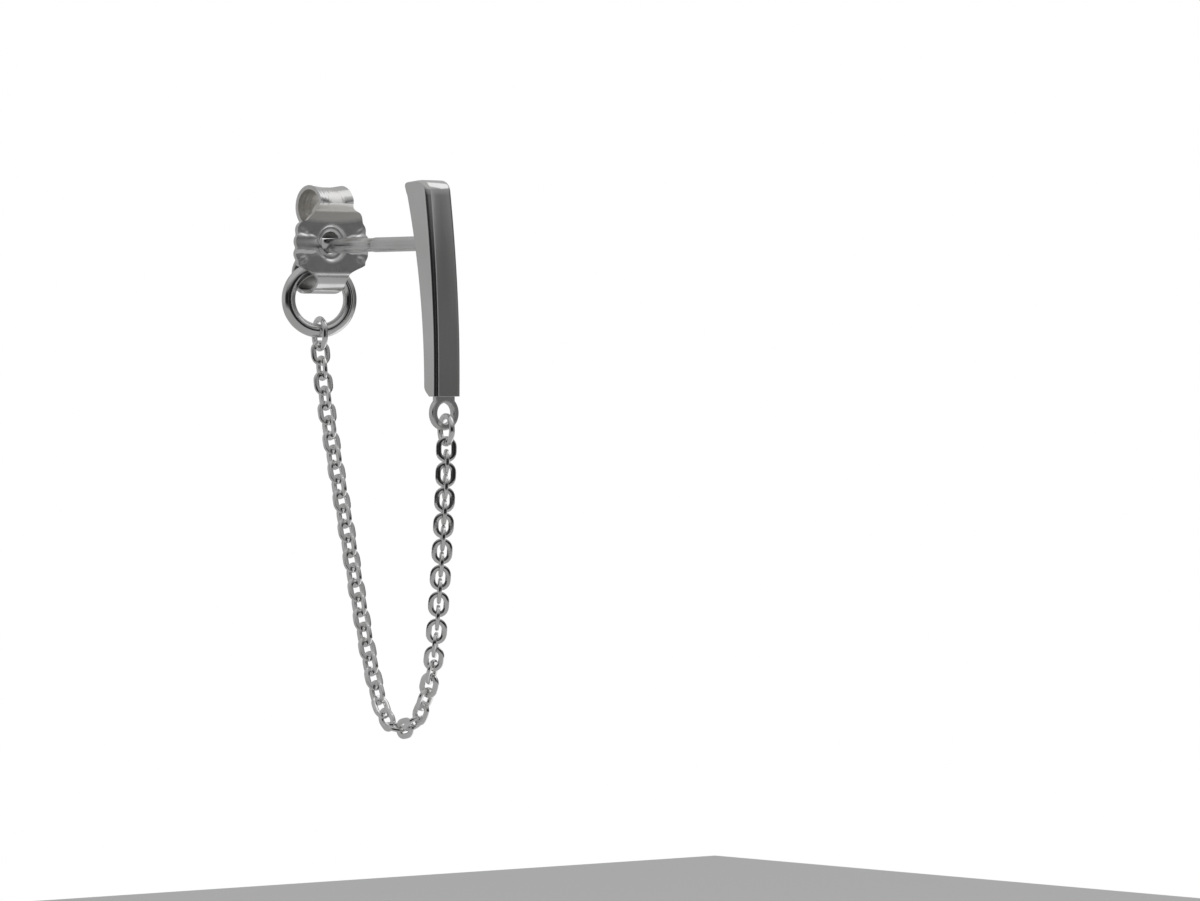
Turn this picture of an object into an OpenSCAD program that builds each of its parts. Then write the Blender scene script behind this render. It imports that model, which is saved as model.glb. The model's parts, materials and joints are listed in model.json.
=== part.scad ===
// Chain earring: a bowed bar on an ear post, with a fine cable chain that hangs
// below the lobe from the bar's foot to a ring in the butterfly nut.
// Millimetres. The post runs along Y, the bar is in front at -Y, the nut behind
// at +Y, and Z is up. The origin is on the post's axis, inside the ear lobe.

/* [Bar] */
// Width of the bar, from left to right
bar_w = 1.9; // [1.5:0.1:2.4]
// Height of the bar's upper end above the post
bar_top = 3.66; // [3:0.02:4.2]
// Depth of the bar's foot below the post
bar_foot = 8.84; // [8:0.02:9.2]
// Distance of the front face from the origin, at the foot
bar_front = 6.5; // [6:0.05:7]
// Thickness of the bar at its foot, where it is thinnest
bar_foot_t = 0.98; // [0.8:0.02:1.2]
// Radius of the bow of the front face
front_bow_r = 65; // [55:1:90]
// Radius of the tighter bow of the back face
back_bow_r = 36; // [30:1:45]
// Rounding of the two long front edges
bar_edge_r = 0.18; // [0.1:0.02:0.3]

/* [Post] */
// Diameter of the ear post
post_d = 0.85; // [0.7:0.05:1]
// How far the post's tip reaches behind the origin
post_tip = 6.75; // [6:0.05:7.5]
// Diameter of the post at the bottom of its friction groove
groove_d = 0.7; // [0.6:0.02:0.8]
// Distance of the groove behind the origin
groove_y = 0.2; // [0:0.1:1.5]
// Length of the groove along the post
groove_len = 0.8; // [0.5:0.1:1.2]

/* [Eye under the bar] */
// Outer radius of the eye
eye_r = 0.99; // [0.9:0.01:1.1]
// Radius of the hole in the eye
eye_hole_r = 0.58; // [0.5:0.01:0.65]
// Thickness of the eye's plate
eye_t = 0.38; // [0.3:0.02:0.5]
// Depth of the hole's centre below the post
eye_drop = 9.64; // [9.5:0.02:9.8]
// Distance of the plate's middle in front of the origin
eye_y = 6.06; // [5.9:0.02:6.2]

/* [Ear nut] */
// Thickness of the nut's sheet
sheet_t = 0.24; // [0.2:0.01:0.28]
// Distance of the nut's plate behind the origin, at the hole
nut_y = 4.2; // [4:0.05:4.4]
// Half the width of the plate, over its scalloped wings
wing_r = 2.75; // [2.6:0.05:2.85]
// Number of scallops on each wing
scallops = 5; // [4:1:7]
// Radius of the nut's hole for the post
nut_hole_r = 0.52; // [0.5:0.01:0.6]
// Outer radius of the dished rim round the hole
dish_r = 1; // [0.85:0.05:1.1]
// Outer radius of the upper scroll
upper_scroll_r = 1.4; // [1.3:0.02:1.45]
// Outer radius of the lower scroll, which holds the ring
lower_scroll_r = 1.13; // [1.1:0.01:1.2]
// Width of the upper scroll
upper_scroll_w = 2.4; // [2:0.1:2.6]
// Width of the lower scroll
lower_scroll_w = 2.04; // [1.96:0.04:2.08]

/* [Nut ring] */
// Outer diameter of the ring in the nut's lower scroll
ring_d = 4.45; // [4.35:0.01:4.5]
// Diameter of the ring's wire
ring_wire = 0.8; // [0.7:0.01:0.8]
// Turn of the ring about the vertical, away from square to the post
ring_yaw = 25; // [12:1:25]
// Turn of the link that hangs in the ring, which has swung less far round
ring_link_turn = 14; // [10:1:20]

/* [Connecting links] */
// Diameter of the wire of the two links at the chain's ends
connector_wire = 0.33; // [0.3:0.01:0.36]
// Width of both links
connector_w = 1.84; // [1.7:0.02:1.95]
// Length of the link that hangs in the nut's ring
ring_link_len = 2.06; // [2:0.02:2.2]
// Length of the link that hangs in the bar's eye
eye_link_len = 1.9; // [1.85:0.01:1.95]

/* [Chain] */
// Diameter of the chain's wire
chain_wire = 0.25; // [0.22:0.01:0.26]
// Length of one chain link
link_len = 1.54; // [1.53:0.01:1.56]
// Width of one chain link
link_w = 1.2; // [1.15:0.01:1.25]
// Number of chain links
link_count = 49; // [49:2:51]

/* [Hidden] */
$fn = 64;

// Where the two faces of the bar stand upright, below the post
front_bow_z = -8.4;
back_bow_z = -8.0;
// Slopes of the bar's upper end and of the cut under its back
bar_top_slope = 6;
bar_heel_slope = 54;
bar_heel = 0.76;
// Where the dish of the nut ends behind the plate
dish_depth = 0.5;
// Centres of the scrolls, [y, z]
upper_scroll = [5.03, 2.05];
lower_scroll = [5.2, -1.62];
// How far the lower scroll is drawn out backwards, to make room for the ring
lower_scroll_reach = 0.42;
// Heights between which the plate is flat
plate_flat = [-1.3, 1.5];
// Clearances between the hanging pieces, the second over the eye's square edges
hang_gap = 0.125;
eye_gap = 0.26;
// Half the play that the chain's links have in each other
half_play = 0.095;
// Where the ring, the connecting links and the chain hang
ring_at = [0, 5.41, -3.07];
ring_link_y = 5.36;
ring_link_top = ring_at[2] - ring_d/2 + ring_wire + hang_gap + connector_wire;
eye_link_at = [0.1, -6.14];
eye_link_top = -eye_drop - eye_hole_r + eye_gap + connector_wire;
// Turns of the connecting links about the vertical, from facing along X
eye_link_turn = -13;
// Turn of the chain's links about their own strand at its two ends
twist_nut_side = -7;
twist_bar_side = -38;
// The part of the run in which the turn changes
twist_run = [0.62, 0.74];
ROUTE_STEPS = 12;
SHEET_STEPS = 28;
far = 20;

// Route of the chain in the plane of the post, from the ring link to the eye link
//        y      z
route = [
    [ 5.36, ring_link_top - ring_link_len + connector_wire + hang_gap - half_play],
    [ 4.95,  -8.40],
    [ 4.36, -10.97],
    [ 3.58, -13.80],
    [ 2.78, -16.70],
    [ 1.90, -19.90],
    [ 0.97, -23.10],
    [ 0.38, -24.80],
    [-0.20, -26.20],
    [-0.80, -27.20],
    [-1.85, -27.70],
    [-3.00, -27.55],
    [-3.85, -26.95],
    [-4.35, -25.95],
    [-4.92, -24.60],
    [-5.24, -23.10],
    [-5.46, -21.60],
    [-5.77, -18.75],
    [-6.04, -15.90],
    [-6.19, -13.20],
    [-6.18, eye_link_top - eye_link_len + connector_wire + hang_gap - half_play]
];

// A smooth curve from p1 to p2 that heads from p0 and towards p3
function curve(p0, p1, p2, p3, t) =
    (2*p1 + (p2 - p0)*t + (2*p0 - 5*p1 + 4*p2 - p3)*t*t + (3*p1 - p0 - 3*p2 + p3)*t*t*t) / 2;
function knot(i) = route[max(0, min(len(route) - 1, i))];
run_points = [
    for (i = [0:len(route) - 2]) for (k = [0:ROUTE_STEPS - 1])
        curve(knot(i - 1), knot(i), knot(i + 1), knot(i + 2), k/ROUTE_STEPS),
    route[len(route) - 1]
];
run_at = [
    for (i = 0, s = 0; i < len(run_points);
         s = s + (i + 1 < len(run_points) ? norm(run_points[i + 1] - run_points[i]) : 0), i = i + 1) s
];
run_length = run_at[len(run_at) - 1];
run_y = [for (i = [0:len(run_at) - 1]) [run_at[i], run_points[i][0]]];
run_z = [for (i = [0:len(run_at) - 1]) [run_at[i], run_points[i][1]]];
// The last links lean a little sideways, to the eye link
lean_len = 3;
run_x = [[run_length - lean_len, 0], [run_length, eye_link_at[0]]];
function run_point(s) = [lookup(s, run_x), lookup(s, run_y), lookup(s, run_z)];

pitch = run_length/link_count;

// Half circles of wire joined by straights: a link that lies along X, flat in XY
module oval_link(length, width, wire) {
    bend_r = (width - wire)/2;
    straight = length - width;
    for (end = [-1, 1])
        translate([end*straight/2, 0, 0]) rotate([0, 0, -90*end])
            rotate_extrude(angle = 180) translate([bend_r, 0]) circle(d = wire);
    if (straight > 0)
        for (side = [-1, 1])
            translate([-straight/2, side*bend_r, 0]) rotate([0, 90, 0])
                cylinder(d = wire, h = straight);
}

// A link that hangs upright, its face turned by angle from facing along X
module hanging_link(length, width, wire, angle) {
    rotate([0, 0, angle]) rotate([0, 90, 0]) oval_link(length, width, wire);
}

// The bowed bar: a thick strip with a bowed front, less what lies behind and beyond it
module bar() {
    strip_depth = 3;
    // The bow runs from a little below the foot to a little above the upper end
    bow_from = -1.5;
    bow_turn = 13.5;
    // The upper end has its height this far behind the front
    top_from_front = 1;
    heel_z = -bar_foot + bar_heel;
    difference() {
        // The front face and its rounded edges, swept round the axis of the bow
        translate([0, front_bow_r - bar_front, front_bow_z]) rotate([90, 0, -90])
            rotate([0, 0, bow_from]) rotate_extrude(angle = bow_turn, $fn = 360)
                translate([front_bow_r, 0]) {
                    translate([-strip_depth, -bar_w/2]) square([strip_depth - bar_edge_r, bar_w]);
                    translate([-strip_depth, bar_edge_r - bar_w/2])
                        square([strip_depth, bar_w - 2*bar_edge_r]);
                    for (side = [-1, 1])
                        translate([-bar_edge_r, side*(bar_w/2 - bar_edge_r)]) circle(r = bar_edge_r);
                }
        // The tighter bow of the back
        translate([-far/2, back_bow_r - bar_front + bar_foot_t, back_bow_z]) rotate([0, 90, 0])
            cylinder(r = back_bow_r, h = far, $fn = 360);
        // The upper end, the foot and the heel
        translate([-far/2, top_from_front - bar_front, bar_top]) rotate([-bar_top_slope, 0, 0])
            translate([0, -far/2, 0]) cube([far, far, far]);
        translate([-far/2, -far/2, -bar_foot - far]) cube([far, far, far]);
        translate([-far/2, bar_foot_t - bar_front, heel_z]) rotate([bar_heel_slope, 0, 0])
            translate([0, -far/2, -far]) cube([far, far, far]);
    }
}

// The post, with a groove that the nut clicks into and a rounded tip
module post() {
    root_depth = 1.5;
    root_y = root_depth - bar_front;
    tip_len = post_d/4;
    rotate([-90, 0, 0]) {
        translate([0, 0, root_y]) cylinder(d = post_d, h = groove_y - root_y);
        translate([0, 0, groove_y]) cylinder(d = groove_d, h = groove_len);
        translate([0, 0, groove_y + groove_len])
            cylinder(d = post_d, h = post_tip - tip_len - groove_y - groove_len);
        translate([0, 0, post_tip - tip_len]) cylinder(d1 = post_d, d2 = post_d/2, h = tip_len);
    }
}

// The plate with a hole under the bar's foot
module eye() {
    neck_w = 1.4;
    neck_into_bar = 0.3;
    neck_h = eye_drop - bar_foot + neck_into_bar;
    translate([0, eye_t/2 - eye_y, -eye_drop]) difference() {
        union() {
            rotate([90, 0, 0]) cylinder(r = eye_r, h = eye_t);
            translate([-neck_w/2, -eye_t, 0]) cube([neck_w, eye_t, neck_h]);
        }
        translate([0, eye_t, 0]) rotate([90, 0, 0]) cylinder(r = eye_hole_r, h = 3*eye_t);
    }
}

module bar_stud() color([0.62, 0.62, 0.63]) {
    bar();
    post();
    eye();
}

// Points [y, z] along the middle of an arc of sheet, from one angle to another
function arc(centre, r, from, to) =
    [for (k = [0:SHEET_STEPS]) let (a = from + (to - from)*k/SHEET_STEPS)
        centre + r*[cos(a), sin(a)]];
// The direction of a path at its point i
function heading(path, i) =
    let (d = path[min(len(path) - 1, i + 1)] - path[max(0, i - 1)]) d/norm(d);
// The outline of a sheet of thickness t that is bent along a path
function sheet(path, t) = concat(
    [for (i = [0:len(path) - 1]) let (h = heading(path, i)) path[i] + t/2*[-h[1], h[0]]],
    [for (i = [len(path) - 1:-1:0]) let (h = heading(path, i)) path[i] - t/2*[-h[1], h[0]]]
);
// A strip of sheet of width w, bent along a path in YZ
module strip(path, w) {
    rotate([90, 0, 90]) translate([0, 0, -w/2]) linear_extrude(w) polygon(sheet(path, sheet_t));
}

// Middles of the two scrolls, each from its root at the plate to its free edge
upper_path = arc(upper_scroll, upper_scroll_r - sheet_t/2, 187, -80);
lower_path = concat(
    arc(lower_scroll, lower_scroll_r - sheet_t/2, 180, 270),
    arc(lower_scroll + [lower_scroll_reach, 0], lower_scroll_r - sheet_t/2, 270, 438)
);
// Middle of the plate, which bends forwards to both scrolls
plate_path = concat(
    [lower_path[0]],
    [for (z = plate_flat) [nut_y + sheet_t/2, z]],
    [upper_path[0]]
);

// Front outline of the plate: a disc whose two wings are scalloped
module plate_outline() {
    lobe_r = 0.55;
    lobe_rise = 0.45;
    // Angles of a wing's lowest and highest lobes
    lowest = -29;
    highest = 40;
    circle(r = wing_r - lobe_rise);
    for (side = [0, 1]) mirror([side, 0]) for (k = [0:scallops - 1])
        rotate(lowest + (highest - lowest)*k/(scallops - 1))
            translate([wing_r - lobe_r, 0]) circle(r = lobe_r);
}

module ear_nut() color([0.66, 0.66, 0.67]) difference() {
    union() {
        strip(upper_path, upper_scroll_w);
        strip(lower_path, lower_scroll_w);
        intersection() {
            strip(plate_path, 2*far);
            translate([0, far/2, 0]) rotate([90, 0, 0]) linear_extrude(far) plate_outline();
        }
        // The dished rim round the hole
        translate([0, nut_y, 0]) rotate([-90, 0, 0])
            cylinder(r1 = dish_r, r2 = nut_hole_r + sheet_t, h = dish_depth);
    }
    // The dish leads the post into the hole
    translate([0, nut_y, 0]) rotate([-90, 0, 0]) rotate_extrude()
        polygon([
            [0, 0], [dish_r - sheet_t, 0], [nut_hole_r, dish_depth],
            [nut_hole_r, 2*dish_depth], [0, 2*dish_depth]
        ]);
}

module nut_ring() color([0.6, 0.6, 0.61])
    translate(ring_at) rotate([90, 0, -ring_yaw])
        rotate_extrude() translate([(ring_d - ring_wire)/2, 0]) circle(d = ring_wire);

module ring_link() color([0.7, 0.7, 0.71])
    translate([0, ring_link_y, ring_link_top - ring_link_len/2])
        hanging_link(ring_link_len, connector_w, connector_wire, -ring_link_turn);

module eye_link() color([0.7, 0.7, 0.71])
    translate([eye_link_at[0], eye_link_at[1], eye_link_top - eye_link_len/2])
        hanging_link(eye_link_len, connector_w, connector_wire, eye_link_turn);

// Links that hang in each other, each turned a quarter from the last
module chain() color([0.72, 0.72, 0.73])
    for (i = [0:link_count - 1]) {
        from = run_point(i*pitch);
        to = run_point((i + 1)*pitch);
        along = (to - from)/norm(to - from);
        cross_x = cross(along, [1, 0, 0]);
        side = cross_x/norm(cross_x);
        level = cross(side, along);
        part = (i + 0.5)/link_count;
        twist = lookup(part, [[twist_run[0], twist_nut_side], [twist_run[1], twist_bar_side]]);
        turn = twist + 90*(i % 2);
        across = cos(turn)*level + sin(turn)*side;
        face = cross(along, across);
        at = (from + to)/2;
        multmatrix([
            [along[0], across[0], face[0], at[0]],
            [along[1], across[1], face[1], at[1]],
            [along[2], across[2], face[2], at[2]]
        ]) oval_link(link_len, link_w, chain_wire);
    }

bar_stud();
ear_nut();
nut_ring();
ring_link();
chain();
eye_link();
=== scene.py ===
# %% [markdown]
# # A chain earring in polished silver
# The earring is a bowed bar on an ear post, a butterfly nut that clips on to the post behind the
# lobe, and a fine cable chain that swings between the two. The frame gives every piece its place
# and size. Here each piece is modelled again, as a goldsmith would make it: sheet is cut, dished
# and curled, wire is bent round a former, and each edge is softened as polishing softens it.

# %% Load the frame
import json
import math

import bmesh
import bpy
from mathutils import Matrix, Vector

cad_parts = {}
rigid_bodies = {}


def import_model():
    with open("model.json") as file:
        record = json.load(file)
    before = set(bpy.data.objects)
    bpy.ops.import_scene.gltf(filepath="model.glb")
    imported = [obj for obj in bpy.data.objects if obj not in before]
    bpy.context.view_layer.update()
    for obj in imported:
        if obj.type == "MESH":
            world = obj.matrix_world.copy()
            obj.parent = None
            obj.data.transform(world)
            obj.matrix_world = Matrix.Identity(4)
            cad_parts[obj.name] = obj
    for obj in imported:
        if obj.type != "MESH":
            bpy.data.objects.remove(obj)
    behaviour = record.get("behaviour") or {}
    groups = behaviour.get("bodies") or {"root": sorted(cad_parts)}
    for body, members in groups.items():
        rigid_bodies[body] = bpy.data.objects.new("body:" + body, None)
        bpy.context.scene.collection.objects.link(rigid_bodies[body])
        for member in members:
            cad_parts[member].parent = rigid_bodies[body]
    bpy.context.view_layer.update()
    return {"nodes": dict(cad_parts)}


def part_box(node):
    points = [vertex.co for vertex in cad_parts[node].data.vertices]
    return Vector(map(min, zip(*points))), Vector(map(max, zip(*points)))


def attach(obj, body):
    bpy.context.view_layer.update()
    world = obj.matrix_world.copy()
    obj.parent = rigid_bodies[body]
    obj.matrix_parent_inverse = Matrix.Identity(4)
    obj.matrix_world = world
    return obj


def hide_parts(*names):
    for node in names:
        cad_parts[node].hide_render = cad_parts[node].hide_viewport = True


bpy.ops.object.select_all(action="SELECT")
bpy.ops.object.delete()
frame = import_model()
mm = 0.001
print("frame:", ", ".join(sorted(frame["nodes"])))

# %% [markdown]
# ## The camera
# A jewel of this size is photographed with a long lens from about a third of a metre, so that it
# keeps its proportions. The camera looks at the earring from its left front, almost level with
# it, and the earring hangs in the left half of the picture.

# %% Camera
view_turn = math.radians(-40.5)
view_rise = math.radians(0.6)
view_distance = 350 * mm
aim_right = 12.78 * mm
aim_height = -11.8 * mm
to_the_right = Vector((math.cos(view_turn), math.sin(view_turn), 0))
towards_camera = Vector((
    math.sin(view_turn) * math.cos(view_rise),
    -math.cos(view_turn) * math.cos(view_rise),
    math.sin(view_rise),
))
aim = aim_right * to_the_right + Vector((0, 0, aim_height))
bpy.ops.object.camera_add(
    location=aim + view_distance * towards_camera,
    rotation=(math.pi / 2 - view_rise, 0, view_turn),
)
camera = bpy.context.object
camera.data.lens = 183.0
camera.data.clip_start = 10 * mm
bpy.context.scene.camera = camera
print("camera:", [round(part / mm) for part in camera.location], "mm")

# %% [markdown]
# ## Helpers for working on a mesh
# Modelling by hand is a round of three steps: pick one piece, pick some of its points or edges,
# and push, turn or bevel them. Each helper here is one of those steps. Points and edges are
# picked by where they are, so the code says what a hand would have clicked on.


# %% Pick a piece and open it
def pick_alone(piece):
    """Select this piece and nothing else."""
    bpy.ops.object.select_all(action="DESELECT")
    piece.select_set(True)
    bpy.context.view_layer.objects.active = piece


def open_new(name):
    """Name the primitive that was just added, put its place into its mesh and open it."""
    piece = bpy.context.object
    piece.name = name
    piece.data.name = name
    pick_alone(piece)
    bpy.ops.object.transform_apply(location=True, rotation=True, scale=True)
    bpy.ops.object.mode_set(mode="EDIT")
    bpy.ops.mesh.select_mode(type="VERT")
    bpy.ops.mesh.select_all(action="DESELECT")
    return piece


# %% Choose points and edges by their place
def choose(piece, test):
    """Select the points whose place passes the test, and what lies between them."""
    bpy.ops.mesh.select_mode(type="VERT")
    shape = bmesh.from_edit_mesh(piece.data)
    for part in [*shape.verts, *shape.edges, *shape.faces]:
        part.select = False
    for point in shape.verts:
        point.select = test(point.co)
    shape.select_flush(True)
    bmesh.update_edit_mesh(piece.data)


def choose_edges(piece, test, open_only=False):
    """Select the edges whose two ends pass the test together, or only the open ones of them."""
    bpy.ops.mesh.select_mode(type="EDGE")
    shape = bmesh.from_edit_mesh(piece.data)
    for part in [*shape.verts, *shape.edges, *shape.faces]:
        part.select = False
    for edge in shape.edges:
        if test(edge.verts[0].co, edge.verts[1].co) and (edge.is_boundary or not open_only):
            edge.select_set(True)
    bmesh.update_edit_mesh(piece.data)


# %% Finish a piece
def close_up(piece, smooth_below=35):
    """Merge doubled points, turn the faces outwards, leave edit mode and smooth the shading."""
    bpy.ops.mesh.select_mode(type="VERT")
    bpy.ops.mesh.select_all(action="SELECT")
    bpy.ops.mesh.remove_doubles(threshold=0.001 * mm)
    bpy.ops.mesh.normals_make_consistent(inside=False)
    bpy.ops.object.mode_set(mode="OBJECT")
    pick_alone(piece)
    bpy.ops.object.shade_smooth_by_angle(angle=math.radians(smooth_below))


def apply_modifier(piece, kind, **settings):
    """Add a modifier, set it and apply it."""
    pick_alone(piece)
    modifier = piece.modifiers.new(kind.title(), kind)
    for setting, value in settings.items():
        setattr(modifier, setting, value)
    bpy.ops.object.modifier_apply(modifier=modifier.name)


def soften_edges(piece, width, segments, sharper_than):
    """Break the edges that turn by more than this many degrees, as polishing does."""
    apply_modifier(
        piece, "BEVEL", width=width, segments=segments,
        limit_method="ANGLE", angle_limit=math.radians(sharper_than),
    )


def hand_over(piece, node):
    """The piece moves with the earring and stands for a node of the frame."""
    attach(piece, "root")
    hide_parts(node)
    shape = bmesh.new()
    shape.from_mesh(piece.data)
    open_edges = sum(1 for edge in shape.edges if len(edge.link_faces) != 2)
    print(piece.name, "has", len(shape.faces), "faces and", open_edges, "open edges")
    shape.free()


# %% [markdown]
# ## The silver
# Every piece is sterling silver, but no two are finished alike. The bar is polished on a felt
# wheel, which leaves very fine lines along it. The nut is stamped from sheet and tumbled, so it
# is a little cloudy. Wire is drawn, and keeps faint lines along its length. So one function makes
# the metal, and each finish is a different size, stretch and depth of the same slight unevenness:
# in the colour, where the silver has begun to tone, in the gloss, and in the surface itself.
# Inside the dish and the scrolls of the nut the gloss is dulled, and the colour is darkened
# towards a grey of its own as painted shade in these hollows. Each place is a soft ball with its
# own middle and reach.


# %% Clouds of tone
def lay_clouds(nodes, links, place, tone, cloud_size):
    """A colour that drifts slowly between two tones of silver."""
    clouds = nodes.new("ShaderNodeTexNoise")
    clouds.inputs["Scale"].default_value = 1 / cloud_size
    clouds.inputs["Detail"].default_value = 3
    links.new(place, clouds.inputs["Vector"])
    colour = nodes.new("ShaderNodeValToRGB")
    yellowed, bright = colour.color_ramp.elements
    yellowed.position, bright.position = 0.3, 0.7
    yellowed.color = (tone * 0.9, tone * 0.895, tone * 0.885, 1)
    bright.color = (tone, tone, tone * 1.005, 1)
    links.new(clouds.outputs["Fac"], colour.inputs["Fac"])
    return colour.outputs["Color"]


# %% Painted shade in the hollows
def painted_shade_strength(nodes, links, place, middle, reaches):
    """1 inside a ball with this middle and reach along X, Y and Z, falling to 0 at its rim."""
    centre = nodes.new("ShaderNodeMapping")
    centre.vector_type = "TEXTURE"
    centre.inputs["Location"].default_value = middle
    centre.inputs["Scale"].default_value = reaches
    links.new(place, centre.inputs["Vector"])
    ball = nodes.new("ShaderNodeTexGradient")
    ball.gradient_type = "SPHERICAL"
    links.new(centre.outputs["Vector"], ball.inputs["Vector"])
    strength = nodes.new("ShaderNodeMapRange")
    strength.inputs["From Max"].default_value = 0.2
    links.new(ball.outputs["Fac"], strength.inputs["Value"])
    return strength.outputs["Result"]


def paint_shade(nodes, links, colour, strength, shade_grey):
    """Mix the grey of a painted shade into another colour by its strength."""
    mix = nodes.new("ShaderNodeMix")
    mix.data_type = "RGBA"
    mix.inputs["B"].default_value = (shade_grey, shade_grey * 0.98, shade_grey * 0.94, 1)
    links.new(strength, mix.inputs["Factor"])
    links.new(colour, mix.inputs["A"])
    return mix.outputs["Result"]


# %% One function for every finish
def make_silver(name, tone, gloss, cloud_size, mark_size, mark_stretch, mark_depth, painted_shades=()):
    """A polished silver with slow clouds of tone and fine marks stretched along X, Y and Z.

    Each painted shade is a place, its reach along X, Y and Z, and the share of the tone left
    inside it.
    """
    silver = bpy.data.materials.new(name)
    silver.use_nodes = True
    nodes = silver.node_tree.nodes
    links = silver.node_tree.links
    shader = nodes["Principled BSDF"]
    shader.inputs["Metallic"].default_value = 1.0
    place = nodes.new("ShaderNodeTexCoord").outputs["Object"]

    stretch = nodes.new("ShaderNodeMapping")
    stretch.inputs["Scale"].default_value = mark_stretch
    links.new(place, stretch.inputs["Vector"])
    marks = nodes.new("ShaderNodeTexNoise")
    marks.inputs["Scale"].default_value = 1 / mark_size
    marks.inputs["Detail"].default_value = 4
    links.new(stretch.outputs["Vector"], marks.inputs["Vector"])

    polish = nodes.new("ShaderNodeMapRange")
    polish.inputs["To Min"].default_value = gloss * 0.75
    polish.inputs["To Max"].default_value = gloss * 1.35
    links.new(marks.outputs["Fac"], polish.inputs["Value"])
    colour = lay_clouds(nodes, links, place, tone, cloud_size)
    roughness = polish.outputs["Result"]
    if painted_shades:
        # Painted shade: each ball darkens the colour to its share of the tone and dulls the gloss.
        shade_strengths = []
        for middle, reaches, tone_left_in_shade in painted_shades:
            shade_strengths.append(painted_shade_strength(nodes, links, place, middle, reaches))
            colour = paint_shade(nodes, links, colour, shade_strengths[-1], tone * tone_left_in_shade)
        strongest_shade = shade_strengths[0]
        for strength in shade_strengths[1:]:
            either = nodes.new("ShaderNodeMath")
            either.operation = "MAXIMUM"
            links.new(strongest_shade, either.inputs[0])
            links.new(strength, either.inputs[1])
            strongest_shade = either.outputs["Value"]
        dulled = nodes.new("ShaderNodeMath")
        dulled.operation = "MULTIPLY_ADD"
        dulled.inputs[1].default_value = 0.3
        links.new(strongest_shade, dulled.inputs[0])
        links.new(roughness, dulled.inputs[2])
        roughness = dulled.outputs["Value"]
    links.new(colour, shader.inputs["Base Color"])
    links.new(roughness, shader.inputs["Roughness"])

    relief = nodes.new("ShaderNodeBump")
    relief.inputs["Strength"].default_value = 0.5
    relief.inputs["Distance"].default_value = mark_depth
    links.new(marks.outputs["Fac"], relief.inputs["Height"])
    links.new(relief.outputs["Normal"], shader.inputs["Normal"])
    return silver


# %% [markdown]
# ## The bar
# The real bar is a thick silver strip, cut to length, bowed over a mandrel and filed thinner
# towards its foot, with its upper end rolled over and the two long front edges rounded. It could
# be a box bent by a modifier, but the front and the back have different bows. So a small plate is
# drawn at the foot and extruded upwards in steps, and at each step its front and back rows are
# set on their own bows. The last steps follow the quarter circle of the rolled end. Then the
# upper half of the front is crowned, the edges are rounded and the upper end is tipped back.

# %% The two bows
bar_w = 1.9 * mm
bar_foot_z = -8.7 * mm
bar_heel_z = -8.3 * mm
bar_top_z = 3.63 * mm
bar_foot_front = -6.5 * mm
bar_thin = 1.04 * mm
bar_thin_heel = 0.6 * mm
front_bow_r, front_bow_z = 75 * mm, -7.5 * mm
back_bow_r, back_bow_z = 40 * mm, -8.2 * mm
front_roll, back_roll, side_roll = 0.62 * mm, 0.3 * mm, 0.14 * mm
crown = 0.1 * mm
crown_from_z, crown_full_z = -5 * mm, 2.5 * mm


def bow(z, radius, middle_z):
    """How far a bow of this radius has swung back at a height."""
    return radius - math.sqrt(radius**2 - (z - middle_z) ** 2)


def rolled(z, radius):
    """How far an edge rolled over with this radius has fallen back at a height."""
    over = max(0, z - bar_top_z + radius)
    return radius - math.sqrt(max(0, radius**2 - over**2))


def bar_half(z):
    """Half the width at a height."""
    return bar_w / 2 - rolled(z, side_roll)


def bar_front(z):
    """Where the front face is at a height."""
    return bar_foot_front + bow(z, front_bow_r, front_bow_z) + rolled(z, front_roll)


def bar_back(z):
    """Where the back face is: on its own bow, or on the slope of the heel below that."""
    if z < bar_heel_z:
        share = (z - bar_foot_z) / (bar_heel_z - bar_foot_z)
        return bar_foot_front + bar_thin_heel + share * (bar_thin - bar_thin_heel)
    return bar_foot_front + bar_thin + bow(z, back_bow_r, back_bow_z) - rolled(z, back_roll)


def front_crown(x, z):
    """How far the front falls back from its middle: the upper half is slightly rounded."""
    share = min(1, max(0, (z - crown_from_z) / (crown_full_z - crown_from_z)))
    return crown * share * (x / (bar_w / 2)) ** 2


# %% Extrude the bar up its bows
bar_columns = 6
bar_levels = [bar_foot_z, bar_heel_z] + [(-7.8 + 0.5 * step) * mm for step in range(22)]
bar_levels += [
    bar_top_z - front_roll * (1 - math.sin(math.radians(10 * step))) for step in range(10)
]
bpy.ops.mesh.primitive_grid_add(
    x_subdivisions=bar_columns, y_subdivisions=1, size=1,
    location=(0, (bar_front(bar_foot_z) + bar_back(bar_foot_z)) / 2, bar_foot_z),
)
bpy.context.object.scale = (bar_w, bar_back(bar_foot_z) - bar_front(bar_foot_z), 1)
bar = open_new("bar")
bpy.ops.mesh.select_all(action="SELECT")
for below, level in zip(bar_levels, bar_levels[1:]):
    bpy.ops.mesh.extrude_region_move(TRANSFORM_OT_translate={"value": (0, 0, level - below)})
    depth_below = bar_back(below) - bar_front(below)
    depth = bar_back(level) - bar_front(level)
    middle_below = (bar_back(below) + bar_front(below)) / 2
    bpy.ops.transform.resize(
        value=(bar_half(level) / bar_half(below), depth / depth_below, 1),
        center_override=(0, middle_below, level),
    )
    middle = (bar_back(level) + bar_front(level)) / 2
    bpy.ops.transform.translate(value=(0, middle - middle_below, 0))
print("bar levels:", len(bar_levels))

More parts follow.
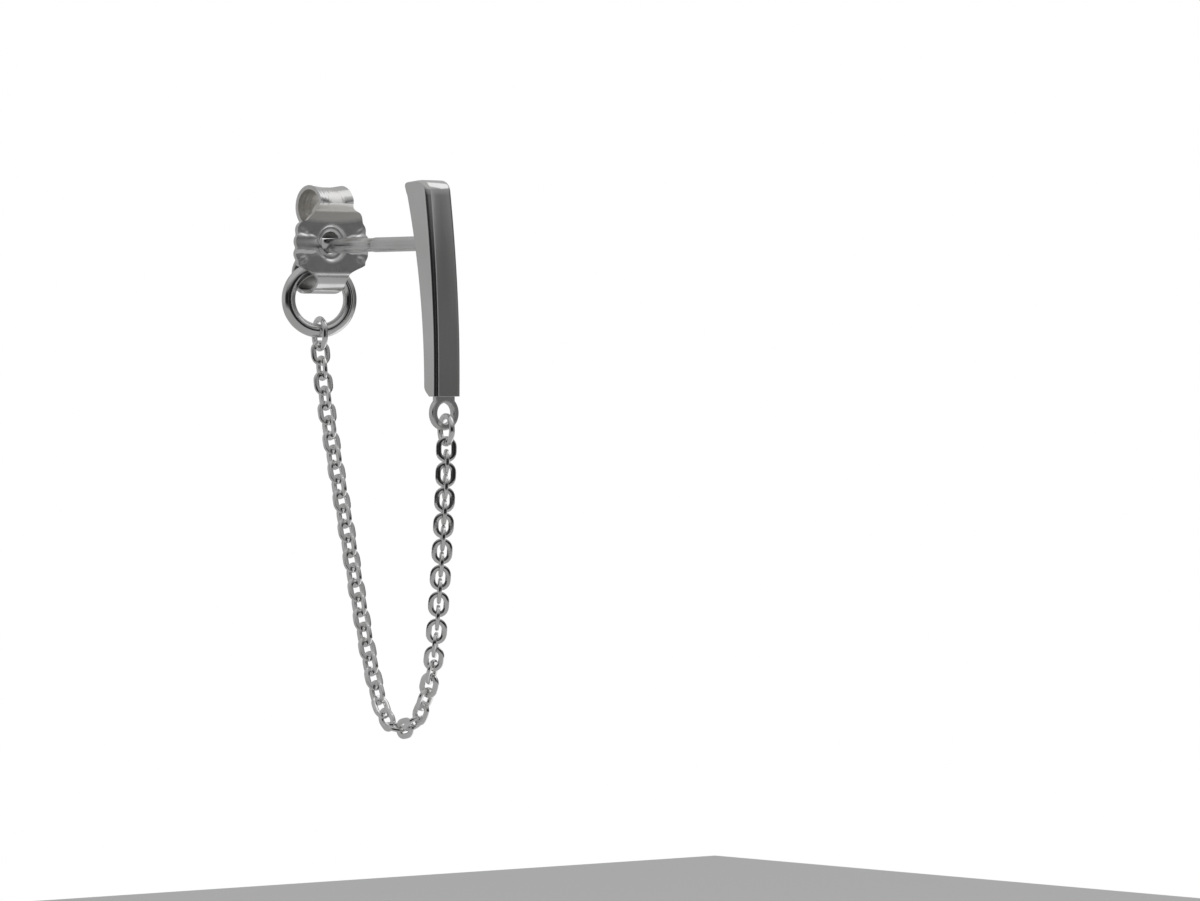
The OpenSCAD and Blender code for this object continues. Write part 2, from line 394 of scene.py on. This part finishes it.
# %% Crown the front
for level in bar_levels:
    for column in range(bar_columns + 1):
        x = 2 * bar_half(level) * (column / bar_columns - 0.5)
        fall = front_crown(x, level)
        if fall < 0.002 * mm:
            continue  # The lower half stays flat.
        spot = Vector((x, bar_front(level), level))
        choose(bar, lambda point: (point - spot).length < 0.02 * mm)
        bpy.ops.transform.translate(value=(0, fall, 0))

# %% Round the long edges and the heel
long_edge_round = 0.27 * mm
heel_round = 0.2 * mm
long_edges = [
    Vector((side * bar_half(level), bar_front(level) + front_crown(bar_half(level), level), level))
    for side in (-1, 1) for level in bar_levels
]


def on_long_edge(point):
    """Whether a point lies on one of the two long front edges."""
    return min((point - spot).length for spot in long_edges) < 0.01 * mm


choose_edges(bar, lambda a, b: on_long_edge(a) and on_long_edge(b) and a.x * b.x > 0)
bpy.ops.mesh.bevel(offset=long_edge_round, segments=7, affect="EDGES", clamp_overlap=False)


def on_heel(point):
    """Whether a point lies on the edge across the back where the heel begins."""
    at_back = point.y > bar_back(point.z) - 0.05 * mm
    return at_back and abs(point.z - bar_heel_z) < 0.01 * mm


choose_edges(bar, lambda a, b: on_heel(a) and on_heel(b))
bpy.ops.mesh.bevel(offset=heel_round, segments=4, affect="EDGES", clamp_overlap=True)

# %% Tip the upper end backwards
roll_from = bar_top_z - front_roll
tip_turn = math.radians(4.5)
choose(bar, lambda point: point.z > roll_from - 0.001 * mm)
bpy.ops.transform.rotate(
    value=tip_turn, orient_axis="X", center_override=(0, bar_front(roll_from), roll_from),
)
top = [point.co for point in bmesh.from_edit_mesh(bar.data).verts if point.co.z > 3.45 * mm]
print("top at the front", round(max(top, key=lambda co: co.z).z / mm, 2),
      "and at the back", round(max(top, key=lambda co: co.y).z / mm, 2))

# %% Break the rims and polish the bar
close_up(bar)
soften_edges(bar, 0.05 * mm, 3, 40)
bpy.ops.object.shade_smooth_by_angle(angle=math.radians(50))
apply_modifier(bar, "WEIGHTED_NORMAL", keep_sharp=True, weight=100)
bar.data.materials.append(make_silver(
    "wheel_polished_silver", tone=0.8, gloss=0.11, cloud_size=4 * mm,
    mark_size=0.12 * mm, mark_stretch=(1, 1, 0.06), mark_depth=0.004 * mm,
))
hand_over(bar, "bar_stud")

# %% [markdown]
# ## The post
# A post is drawn wire, soldered square to the back of the bar. Half-way along it has a shallow
# turned groove, where a nut can click into place on a thin lobe, and its tip is rounded so that
# it passes through the ear. It is turned work, so a circle is extruded along the post in steps
# and widened or narrowed at each: a small fillet of solder, the shank, the groove and the tip.

# %% Extrude the post
post_r = 0.425 * mm
groove_r = 0.39 * mm
post_tip_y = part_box("bar_stud")[1].y
post_steps = [
    (-4.75, post_r + 0.1 * mm), (-4.66, post_r + 0.1 * mm), (-4.6, post_r + 0.05 * mm),
    (-4.5, post_r + 0.015 * mm), (-4.35, post_r), (0.1, post_r), (0.18, post_r - 0.01 * mm),
    (0.34, groove_r), (0.86, groove_r), (1.02, post_r - 0.01 * mm), (1.1, post_r),
]
post_steps = [(y * mm, radius) for y, radius in post_steps]
tip_len = 0.22 * mm
for step in range(7):
    turn = math.radians(step * 13)
    post_steps.append((
        post_tip_y - tip_len + tip_len * math.sin(turn) / math.sin(math.radians(78)),
        post_r - tip_len * (1 - math.cos(turn)),
    ))
bpy.ops.mesh.primitive_circle_add(
    vertices=40, radius=post_steps[0][1], fill_type="NGON",
    location=(0, post_steps[0][0], 0), rotation=(math.pi / 2, 0, 0),
)
post = open_new("ear_post")
bpy.ops.mesh.select_all(action="SELECT")
for (y, radius), (next_y, next_radius) in zip(post_steps, post_steps[1:]):
    bpy.ops.mesh.extrude_region_move(TRANSFORM_OT_translate={"value": (0, next_y - y, 0)})
    ratio = next_radius / radius
    bpy.ops.transform.resize(value=(ratio, ratio, ratio), center_override=(0, next_y, 0))
close_up(post, 50)
post.data.materials.append(make_silver(
    "drawn_post_silver", tone=0.76, gloss=0.22, cloud_size=2 * mm,
    mark_size=0.08 * mm, mark_stretch=(1, 0.05, 1), mark_depth=0.004 * mm,
))
hand_over(post, "bar_stud")

# %% [markdown]
# ## The eye under the bar
# The eye is a flat ring with a short neck, pierced from sheet and soldered under the foot. It
# starts as the circle of its hole. The circle's edge is extruded and widened to the rim, the
# upper arc of the rim is drawn up into the neck, and the flat shape then gets its thickness.

# %% Pierce the eye and draw up its neck
eye_at = Vector((0, -6.06, -9.64)) * mm
eye_hole_r = 0.58 * mm
eye_mid_r = 0.78 * mm
eye_rim_r = 0.975 * mm
eye_t = 0.37 * mm
neck_half = 0.72 * mm
bpy.ops.mesh.primitive_circle_add(
    vertices=64, radius=eye_hole_r, fill_type="NOTHING",
    location=eye_at, rotation=(math.pi / 2, 0, 0),
)
eye = open_new("bar_eye")
bpy.ops.mesh.select_all(action="SELECT")
for radius, next_radius in ((eye_hole_r, eye_mid_r), (eye_mid_r, eye_rim_r)):
    bpy.ops.mesh.extrude_edges_move()
    bpy.ops.transform.resize(value=[next_radius / radius] * 3, center_override=eye_at)
choose(eye, lambda point: (point - eye_at).length > eye_rim_r * 0.99
       and abs(point.x) < neck_half and point.z > eye_at.z)
neck_foot = eye_at.z + math.sqrt(eye_rim_r**2 - neck_half**2)
neck_top = bar_foot_z + 0.2 * mm
bpy.ops.mesh.extrude_edges_move()
bpy.ops.transform.translate(value=(0, 0, neck_top - neck_foot))
bpy.ops.transform.resize(value=(1, 1, 0), center_override=(0, 0, neck_top))
close_up(eye)
apply_modifier(eye, "SOLIDIFY", thickness=eye_t, offset=0)
soften_edges(eye, 0.09 * mm, 3, 50)
bpy.ops.object.shade_smooth_by_angle(angle=math.radians(40))
eye.data.materials.append(make_silver(
    "pierced_eye_silver", tone=0.74, gloss=0.22, cloud_size=0.8 * mm,
    mark_size=0.1 * mm, mark_stretch=(1, 1, 1), mark_depth=0.006 * mm,
))
hand_over(eye, "bar_stud")

# %% [markdown]
# ## The butterfly nut
# The nut is one stamping: a scalloped plate with a dished hole, and two strips that are curled
# up behind it until they grip the post. It is modelled in the order of the press tools. The
# hole's edge is a circle that is extruded outwards, ring after ring, down the dish and over the
# plate. The dish sits a little higher than the post. The wings are scalloped and ribbed, and the
# plate is cut above and below. Each strip is drawn out of the cut edge, narrowing from its root,
# spun about the middle of its scroll, and led on to the post. The cut leaves the shoulders of the
# plate on both sides of the root.

# %% Rings of the plate, from the hole outwards
sheet_t = 0.24 * mm
plate_y = 4.32 * mm
plate_rings = [
    # Radius, depth behind the plate and height of the middle, in millimetres.
    (0.72, 0.14, 0.2), (0.75, 0.12, 0.2), (0.82, 0.1, 0.2), (0.92, 0.1, 0.2), (0.98, 0.09, 0.19),
    (1.03, 0.06, 0.17), (1.07, 0.02, 0.14), (1.13, 0, 0.1), (1.28, 0, 0.04), (1.5, 0, 0),
    (1.75, 0, 0), (1.96, 0, 0), (2.14, 0, 0), (2.3, 0, 0),
]
plate_rings = [
    (radius * mm, Vector((0, plate_y + depth * mm, lift * mm)))
    for radius, depth, lift in plate_rings
]
bpy.ops.mesh.primitive_circle_add(
    vertices=120, radius=plate_rings[0][0], fill_type="NOTHING",
    location=plate_rings[0][1], rotation=(math.pi / 2, 0, 0),
)
nut = open_new("ear_nut_sheet")
bpy.ops.mesh.select_all(action="SELECT")
for (radius, middle), (next_radius, next_middle) in zip(plate_rings, plate_rings[1:]):
    bpy.ops.mesh.extrude_edges_move(TRANSFORM_OT_translate={"value": next_middle - middle})
    ratio = next_radius / radius
    bpy.ops.transform.resize(value=(ratio, 1, ratio), center_override=next_middle)

# %% Scallop the wings
# The middle of each scallop, in degrees round from the middle of its wing.
right_lobes = (42, 24, 6, -12, -27)
left_lobes = (24, 6, -12, -27)


def from_axis(point):
    """How far a point lies from the post's axis."""
    return math.hypot(point.x, point.z)


def wing_angle(point):
    """How far round from the middle of its wing a point lies, in degrees."""
    return math.degrees(math.atan2(point.z, abs(point.x)))


def off_lobe(point):
    """How far round a point lies from the nearest scallop of its wing, in degrees."""
    lobes = right_lobes if point.x > 0 else left_lobes
    return min(abs(wing_angle(point) - lobe) for lobe in lobes)


def on_top_lobe(point):
    """Whether a point is on the rim of the highest scallop, which stands out further."""
    near = abs(wing_angle(point) - right_lobes[0]) < 10
    return near and point.x > 0 and from_axis(point) > 2.2 * mm


for reach, push in ((13, 1.06), (10, 1.05), (7, 1.03), (4, 1.02), (1, 1.005)):
    choose(nut, lambda point: off_lobe(point) < reach and from_axis(point) > 2.25 * mm)
    bpy.ops.transform.resize(value=(push, 1, push), center_override=(0, plate_y, 0))
choose(nut, on_top_lobe)
bpy.ops.transform.resize(value=(1.05, 1, 1.05), center_override=(0, plate_y, 0))
points = bmesh.from_edit_mesh(nut.data).verts
print("wings reach", round(max(point.co.x for point in points) / mm, 2))

# %% Press a rib and two dents into each wing
rib_z, rib_half, rib_rise = 0.12 * mm, 0.45 * mm, 0.07 * mm
dent_way, dent_r, dent_depth = 2.13 * mm, 0.17 * mm, 0.06 * mm
choose(nut, lambda point: abs(point.z - rib_z) < rib_half and abs(point.x) > 1.2 * mm)
bpy.ops.transform.translate(value=(0, -rib_rise, 0))
for side in (-1, 1):
    for turn in (math.radians(22), math.radians(-21)):
        dent = Vector((side * math.cos(turn), 0, math.sin(turn))) * dent_way
        dent.y = plate_y
        choose(nut, lambda point: (point - dent).length < dent_r)
        bpy.ops.transform.translate(value=(0, dent_depth, 0))

# %% Cut the plate where the strips leave it
upper_cut = 1.91 * mm
lower_cut = -1.15 * mm
for cut, outwards in ((upper_cut, 1), (lower_cut, -1)):
    bpy.ops.mesh.select_all(action="SELECT")
    bpy.ops.mesh.bisect(
        plane_co=(0, 0, cut), plane_no=(0, 0, outwards), clear_outer=True, threshold=0.001 * mm,
    )

# %% How a strip is drawn out of the plate
upper_middle = Vector((0, 4.85, 2.27)) * mm
lower_middle = Vector((0, 5.2, -1.62)) * mm
lower_reach = Vector((0, 0.42, 0)) * mm
upper_r = 1.14 * mm
lower_r = 1.01 * mm


def on_scroll(middle, radius, turn):
    """The point of a scroll this many degrees round, counted from straight behind it."""
    turn = math.radians(turn)
    return middle + radius * Vector((0, math.cos(turn), math.sin(turn)))


def draw_strip(cut, left, right, rows):
    """Extrude the cut edge between left and right through rows: Y, Z, left and right edge."""
    def on_root(point):
        """Whether a point lies on the cut, where the strip leaves it."""
        return abs(point.z - cut) < 0.01 * mm and left * mm < point.x < right * mm

    choose_edges(nut, lambda a, b: on_root(a) and on_root(b), open_only=True)
    chosen = [point.co.x for point in bmesh.from_edit_mesh(nut.data).verts if point.select]
    left, right = min(chosen), max(chosen)
    print("strip's root goes from", round(left / mm, 2), "to", round(right / mm, 2))
    place = Vector((left, plate_y, cut))
    for y, z, next_left, next_right in rows:
        step = Vector((next_left, y, z)) * mm - place
        place = place + step
        bpy.ops.mesh.extrude_edges_move(TRANSFORM_OT_translate={"value": step})
        width = (next_right - next_left) * mm
        bpy.ops.transform.resize(value=(width / (right - left), 1, 1), center_override=place)
        left, right = next_left * mm, next_right * mm


def curl(turn, middle, steps):
    """Spin the strip's open end this many degrees about the middle of its scroll."""
    bpy.ops.mesh.spin(steps=steps, angle=math.radians(turn), center=middle, axis=(1, 0, 0))


def lead_on(steps):
    """Extrude the strip's open end through short straight steps along Y and Z."""
    for y, z in steps:
        bpy.ops.mesh.extrude_edges_move(TRANSFORM_OT_translate={"value": (0, y * mm, z * mm)})


# %% Draw and curl the upper strip
upper_start = on_scroll(upper_middle, upper_r, 160) / mm
draw_strip(upper_cut, -1.38, 2.7, [
    (4.32, 1.98, -1.29, 2), (4.3, 2.07, -1.26, 1.84), (4.2, 2.2, -1.23, 1.58),
    (4, 2.36, -1.21, 1.34), (3.82, 2.5, -1.2, 1.22), (upper_start.y, upper_start.z, -1.2, 1.2),
])
curl(240, upper_middle, 22)
lead_on([(-0.16, -0.06), (-0.13, -0.13), (-0.06, -0.16), (0, -0.17), (0, -0.17)])

# %% Draw and curl the lower strip, drawn out backwards to hold the ring
lower_start = on_scroll(lower_middle, lower_r, 204) / mm
draw_strip(lower_cut, -2.6, 2.6, [
    (4.32, -1.3, -1.98, 1.98), (4.32, -1.42, -1.66, 1.66), (4.31, -1.56, -1.42, 1.42),
    (4.27, -1.68, -1.26, 1.26), (4.2, -1.8, -1.12, 1.12), (lower_start.y, lower_start.z, -1, 1),
])
curl(-66, lower_middle, 6)
bpy.ops.mesh.extrude_edges_move(TRANSFORM_OT_translate={"value": lower_reach})
curl(-168, lower_middle + lower_reach, 15)
lead_on([(-0.2, 0.01), (-0.25, 0), (-0.25, 0)])


# %% Flare the rims of the upper scroll
def on_upper_curl(point):
    """Whether a point lies on the curled part of the upper strip."""
    off_axis = math.hypot(point.y - upper_middle.y, point.z - upper_middle.z)
    past_root = point.z > 2.6 * mm or point.y > 4.7 * mm
    return abs(off_axis - upper_r) < 0.16 * mm and past_root and point.z > 0.8 * mm


for half_width in (1.1, 1.0, 0.88, 0.75, 0.6, 0.42):
    choose(nut, lambda point: abs(point.x) < half_width * mm and on_upper_curl(point))
    bpy.ops.transform.resize(value=(1, 0.983, 0.983), center_override=upper_middle)

# %% Give the sheet its thickness and tumble its edges
close_up(nut)
apply_modifier(nut, "SOLIDIFY", thickness=sheet_t, offset=0)
soften_edges(nut, 0.05 * mm, 2, 60)
apply_modifier(nut, "SUBSURF", levels=1, render_levels=1)
bpy.ops.object.shade_smooth_by_angle(angle=math.radians(50))
nut.data.materials.append(make_silver(
    "tumbled_sheet_silver", tone=0.78, gloss=0.2, cloud_size=1.2 * mm,
    mark_size=0.3 * mm, mark_stretch=(1, 1, 1), mark_depth=0.0025 * mm,
    painted_shades=[
        # Painted shade behind the hole, inside the upper scroll and inside the lower scroll.
        (Vector((0, 4.95, 0.1)) * mm, Vector((1.3, 0.5, 1.3)) * mm, 0.08),
        (upper_middle, Vector((5, 1.2, 1.2)) * mm, 1),
        (Vector((0, 5.42, -1.62)) * mm, Vector((5, 1.3, 1.06)) * mm, 0.2),
    ],
))
hand_over(nut, "ear_nut")

# %% [markdown]
# ## The ring in the nut
# The ring is heavy round wire, wound on a mandrel, cut to one turn and closed through the nut's
# lower scroll. The wire's end is drawn as a disc at the top, where the scroll hides the cut, and
# spun almost all the way round.

# %% Wind the nut ring
ring_outer_d = 4.45 * mm
ring_wire = 0.8 * mm
ring_r = (ring_outer_d - ring_wire) / 2
ring_yaw = math.radians(-25)
ring_middle = sum(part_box("nut_ring"), Vector()) / 2
bpy.ops.mesh.primitive_circle_add(
    vertices=24, radius=ring_wire / 2, fill_type="NGON",
    location=ring_middle + Vector((0, 0, ring_r)), rotation=(0, math.pi / 2, ring_yaw),
)
ring = open_new("nut_ring_wire")
bpy.ops.mesh.select_all(action="SELECT")
bpy.ops.mesh.spin(
    steps=96, angle=math.radians(358.6), center=ring_middle,
    axis=(-math.sin(ring_yaw), math.cos(ring_yaw), 0),
)
close_up(ring, 50)
ring.data.materials.append(make_silver(
    "wound_ring_silver", tone=0.8, gloss=0.1, cloud_size=2.5 * mm,
    mark_size=0.25 * mm, mark_stretch=(1, 1, 1), mark_depth=0.004 * mm,
))
hand_over(ring, "nut_ring")

# %% [markdown]
# ## The connecting links
# Two small links join the chain to the ring and to the eye. Each is thin round wire bent round
# two pins: half a turn about the upper pin, a short straight, half a turn about the lower pin, and
# back to the start, where the ends are soldered together.


# %% Bend a link round two pins
def bend_link(name, length, width, wire, steps, sides):
    """A closed link round the origin: long along Z, wide along X and thin along Y."""
    bend_r = (width - wire) / 2
    pin = length / 2 - width / 2
    bpy.ops.mesh.primitive_circle_add(
        vertices=sides, radius=wire / 2, fill_type="NOTHING", location=(bend_r, 0, -pin),
    )
    link = open_new(name)
    bpy.ops.mesh.select_all(action="SELECT")
    bpy.ops.mesh.extrude_edges_move(TRANSFORM_OT_translate={"value": (0, 0, 2 * pin)})
    bpy.ops.mesh.spin(steps=steps, angle=math.pi, center=(0, 0, pin), axis=(0, 1, 0))
    bpy.ops.mesh.extrude_edges_move(TRANSFORM_OT_translate={"value": (0, 0, -2 * pin)})
    bpy.ops.mesh.spin(steps=steps, angle=math.pi, center=(0, 0, -pin), axis=(0, 1, 0))
    close_up(link, 50)
    return link


# %% Hang the two connecting links
link_silver = make_silver(
    "bent_link_silver", tone=0.84, gloss=0.1, cloud_size=0.6 * mm,
    mark_size=0.08 * mm, mark_stretch=(1, 1, 1), mark_depth=0.003 * mm,
)
joining_w = 1.84 * mm
joining_wire = 0.33 * mm
for node, length, turn in (("ring_link", 2.06 * mm, 76), ("eye_link", 1.9 * mm, 77)):
    link = bend_link(node + "_wire", length, joining_w, joining_wire, 20, 20)
    pick_alone(link)
    link.rotation_euler = (0, 0, math.radians(turn))
    link.location = sum(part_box(node), Vector()) / 2
    bpy.ops.object.transform_apply(location=True, rotation=True, scale=True)
    link.data.materials.append(link_silver)
    hand_over(link, node)

# %% [markdown]
# ## The chain
# The chain is fine cable chain with diamond-cut links: each link is flattened a little on both
# sides by the cutter, so that it flashes. The frame's own links show how the chain hangs. Their
# middles give the line, and fifty fresh links are spaced along it, each turned a quarter from
# the last, closer together below the bar, where the chain is slack. The chain also twists a
# little on its way, so that its flats catch the light one after the other.

# %% The line on which the chain hangs
guide = frame["nodes"]["chain"].copy()
guide.data = guide.data.copy()
bpy.context.scene.collection.objects.link(guide)
pick_alone(guide)
bpy.ops.object.mode_set(mode="EDIT")
bpy.ops.mesh.select_all(action="SELECT")
bpy.ops.mesh.remove_doubles(threshold=0.001 * mm)
bpy.ops.mesh.separate(type="LOOSE")
bpy.ops.object.mode_set(mode="OBJECT")
guide_links = list(bpy.context.selected_objects)
unsorted = []
for guide_link in guide_links:
    corners = [Vector(corner) for corner in guide_link.bound_box]
    unsorted.append((corners[0] + corners[6]) / 2)
    bpy.data.meshes.remove(guide_link.data)
line = [sum(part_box("ring_link"), Vector()) / 2]
while unsorted:
    line.append(min(unsorted, key=lambda middle: (middle - line[-1]).length))
    unsorted.remove(line[-1])
line = line[1:]
line = [1.5 * line[0] - 0.5 * line[1], *line, 1.5 * line[-1] - 0.5 * line[-2]]
run = [0.0]
for before, after in zip(line, line[1:]):
    run.append(run[-1] + (after - before).length)
print("guide links:", len(line) - 2, "run:", round(run[-1] / mm, 2), "mm")


def on_line(reach):
    """The point of the smooth curve through the guide points at this distance from the ring."""
    step = max(k for k in range(len(line) - 1) if run[k] <= max(0, reach))
    a, b = line[step], line[step + 1]
    before, after = line[max(0, step - 1)], line[min(len(line) - 1, step + 2)]
    t = (reach - run[step]) / (run[step + 1] - run[step])
    return 0.5 * (2 * a + (b - before) * t + (2 * before - 5 * a + 4 * b - after) * t**2
                  + (3 * a - before - 3 * b + after) * t**3)


# %% One diamond-cut link
link_count = 50
link_l = 1.5 * mm
link_w = 1.2 * mm
link_wire = 0.33 * mm
cut_at = 0.11 * mm
first_link = bend_link("cable_chain", link_l, link_w, link_wire, 11, 12)
pick_alone(first_link)
bpy.ops.object.mode_set(mode="EDIT")
for side in (1, -1):
    choose(first_link, lambda point: side * point.y > cut_at)
    bpy.ops.transform.resize(value=(1, 0, 1), center_override=(0, side * cut_at, 0))
bpy.ops.object.mode_set(mode="OBJECT")
bpy.ops.object.shade_smooth_by_angle(angle=math.radians(25))
first_link.data.materials.append(make_silver(
    "diamond_cut_silver", tone=0.84, gloss=0.1, cloud_size=0.7 * mm,
    mark_size=0.1 * mm, mark_stretch=(1, 1, 1), mark_depth=0.006 * mm,
))
print("one link has", len(first_link.data.polygons), "faces")


# %% Space the links and turn each a quarter from the last
def between(value, keys):
    """Read a value off a list of (place, value) pairs."""
    for (low, at_low), (high, at_high) in zip(keys, keys[1:]):
        if value <= high:
            return at_low + (at_high - at_low) * max(0, value - low) / (high - low)
    return keys[-1][1]


slack_from = 31
taut_step, slack_step, slackest_step = 0.88 * mm, 0.8 * mm, 0.69 * mm
# Distance from the ring in millimetres and twist in degrees.
twist_table = [(0, 13), (2, 13), (6, 0), (26, 0), (31, 52), (38, 58), (50, 66)]
half_look = 0.3 * mm
reach = 0.46 * mm
links = []
for number in range(link_count):
    middle = on_line(reach)
    last_reach = reach
    along = (on_line(reach + half_look) - on_line(reach - half_look)).normalized()
    side = along.cross(Vector((1, 0, 0))).normalized()
    level = side.cross(along)
    turn = math.radians(between(reach / mm, twist_table) + 90 * (number % 2))
    across = math.cos(turn) * level + math.sin(turn) * side
    place = Matrix((across, along.cross(across), along)).transposed().to_4x4()
    place.translation = middle
    link = first_link.copy()
    link.data = first_link.data.copy()
    bpy.context.scene.collection.objects.link(link)
    link.data.transform(place)
    links.append(link)
    if number < slack_from:
        reach += taut_step
    else:
        slack_share = (number - slack_from) / (link_count - slack_from)
        reach += slack_step + (slackest_step - slack_step) * slack_share
print("last link", round(last_reach / mm, 2), "mm from the ring at",
      [round(part / mm, 2) for part in middle])

# %% Join the links into one chain
bpy.data.meshes.remove(first_link.data)
pick_alone(links[0])
for link in links:
    link.select_set(True)
bpy.ops.object.join()
chain = bpy.context.object
chain.name = "cable_chain"
chain.data.name = "cable_chain"
hand_over(chain, "chain")

# %% [markdown]
# ## The light
# Polished silver shows nothing but its surroundings, so its light is built as surroundings. The
# earring stands in a soft white tent: even above and below, bright at the back, grey at the
# sides, and dark where the photographer stands. The tent is written as a sky whose brightness
# depends on direction. The camera itself sees plain white behind the earring. A softbox above
# brightens the tops of the bar and of the nut, and a small white card, held low and close, puts a
# glint on what faces down. Neither is seen by the camera.

# %% The tent
world = bpy.data.worlds.new("soft_tent")
bpy.context.scene.world = world
world.use_nodes = True
sky = world.node_tree.nodes
wires = world.node_tree.links
sky.clear()
direction = sky.new("ShaderNodeTexCoord")
parts = sky.new("ShaderNodeSeparateXYZ")
wires.new(direction.outputs["Generated"], parts.inputs["Vector"])


def arithmetic(operation, first, second=None):
    """A Math node fed by sockets or numbers."""
    node = sky.new("ShaderNodeMath")
    node.operation = operation
    for slot, value in enumerate((first, second)):
        if value is None:
            continue
        if isinstance(value, (int, float)):
            node.inputs[slot].default_value = value
        else:
            wires.new(value, node.inputs[slot])
    return node.outputs["Value"]


def brightness(value, stops):
    """A ramp of greys along a value from 0 to 1."""
    ramp = sky.new("ShaderNodeValToRGB")
    ramp.color_ramp.interpolation = "EASE"
    wires.new(value, ramp.inputs["Fac"])
    elements = ramp.color_ramp.elements
    for element, (position, grey) in zip([elements[0], elements[-1]], [stops[0], stops[-1]]):
        element.position = position
        element.color = (grey, grey, grey, 1)
    for position, grey in stops[1:-1]:
        element = elements.new(position)
        element.color = (grey, grey, grey, 1)
    return ramp.outputs["Color"]


def at_turn(degrees):
    """Place on the ramp of a direction: 0 is before the bar, 90 towards +X, 180 behind the ear."""
    return (degrees + 180) / 360


front_way = arithmetic("MULTIPLY", parts.outputs["Y"], -1)
round_way = arithmetic("ARCTAN2", parts.outputs["X"], front_way)
round_part = arithmetic("ADD", arithmetic("DIVIDE", round_way, 2 * math.pi), 0.5)
level_light = brightness(round_part, [(at_turn(degrees), grey) for degrees, grey in (
    (-180, 0.5), (-160, 0.42), (-139, 0.41), (-116, 0.46), (-102, 0.3), (-88, 0.02),
    (-58, 0.015), (-48, 0.015), (-45, 0.05), (-35, 0.05), (-31, 0.015), (8, 0.02),
    (15, 0.22), (19, 0.38), (24, 0.34), (30, 0.14), (38, 0.12), (46, 0.15), (55, 0.2),
    (65, 0.16), (76, 0.07), (98, 0.09), (113, 0.7), (128, 0.9), (145, 0.5), (162, 0.4),
    (180, 0.5),
)])
height_part = arithmetic("ADD", arithmetic("MULTIPLY", parts.outputs["Z"], 0.5), 0.5)
tent_share = brightness(height_part, [
    (0.25, 1.0), (0.4, 0.6), (0.46, 0.0), (0.58, 0.0), (0.68, 0.6), (0.78, 1.0), (1.0, 1.0),
])
tent_light = brightness(height_part, [
    (0.2, 0.35), (0.5, 0.32), (0.7, 0.4), (0.85, 0.5), (1.0, 0.5),
])
mixed = sky.new("ShaderNodeMix")
mixed.data_type = "RGBA"
wires.new(tent_share, mixed.inputs["Factor"])
wires.new(level_light, mixed.inputs["A"])
wires.new(tent_light, mixed.inputs["B"])
tent = sky.new("ShaderNodeBackground")
wires.new(mixed.outputs["Result"], tent.inputs["Color"])
paper = sky.new("ShaderNodeBackground")
paper.inputs["Color"].default_value = (1, 1, 1, 1)
seen = sky.new("ShaderNodeLightPath")
choice = sky.new("ShaderNodeMixShader")
wires.new(seen.outputs["Is Camera Ray"], choice.inputs["Fac"])
wires.new(tent.outputs["Background"], choice.inputs[1])
wires.new(paper.outputs["Background"], choice.inputs[2])
outlet = sky.new("ShaderNodeOutputWorld")
wires.new(choice.outputs["Shader"], outlet.inputs["Surface"])
bpy.context.scene.view_settings.view_transform = "Standard"
print("tent nodes:", len(sky))


# %% The softbox and the white card held low
def hang_light(name, way, distance, size, energy):
    """A square soft light that faces the earring from this way and isn't seen itself."""
    bpy.ops.object.light_add(
        type="AREA", location=distance * way, rotation=way.to_track_quat("Z", "Y").to_euler(),
    )
    light = bpy.context.object
    light.name = name
    light.data.size = size
    light.data.energy = energy
    light.visible_camera = False


hang_light("softbox", Vector((0.604, -0.22, 0.766)), 300 * mm, 220 * mm, 0.085)
hang_light("low_card", Vector((0.65, 0.06, -0.757)), 70 * mm, 60 * mm, 0.006)

# %% The pale floor
bpy.ops.mesh.primitive_plane_add(size=460 * mm, location=(0, 0, -60 * mm))
floor = open_new("pale_floor")
bpy.ops.object.mode_set(mode="OBJECT")
card = bpy.data.materials.new("white_card")
card.use_nodes = True
card_shader = card.node_tree.nodes["Principled BSDF"]
card_shader.inputs["Base Color"].default_value = (0.82, 0.82, 0.82, 1)
card_shader.inputs["Roughness"].default_value = 0.9
floor.data.materials.append(card)
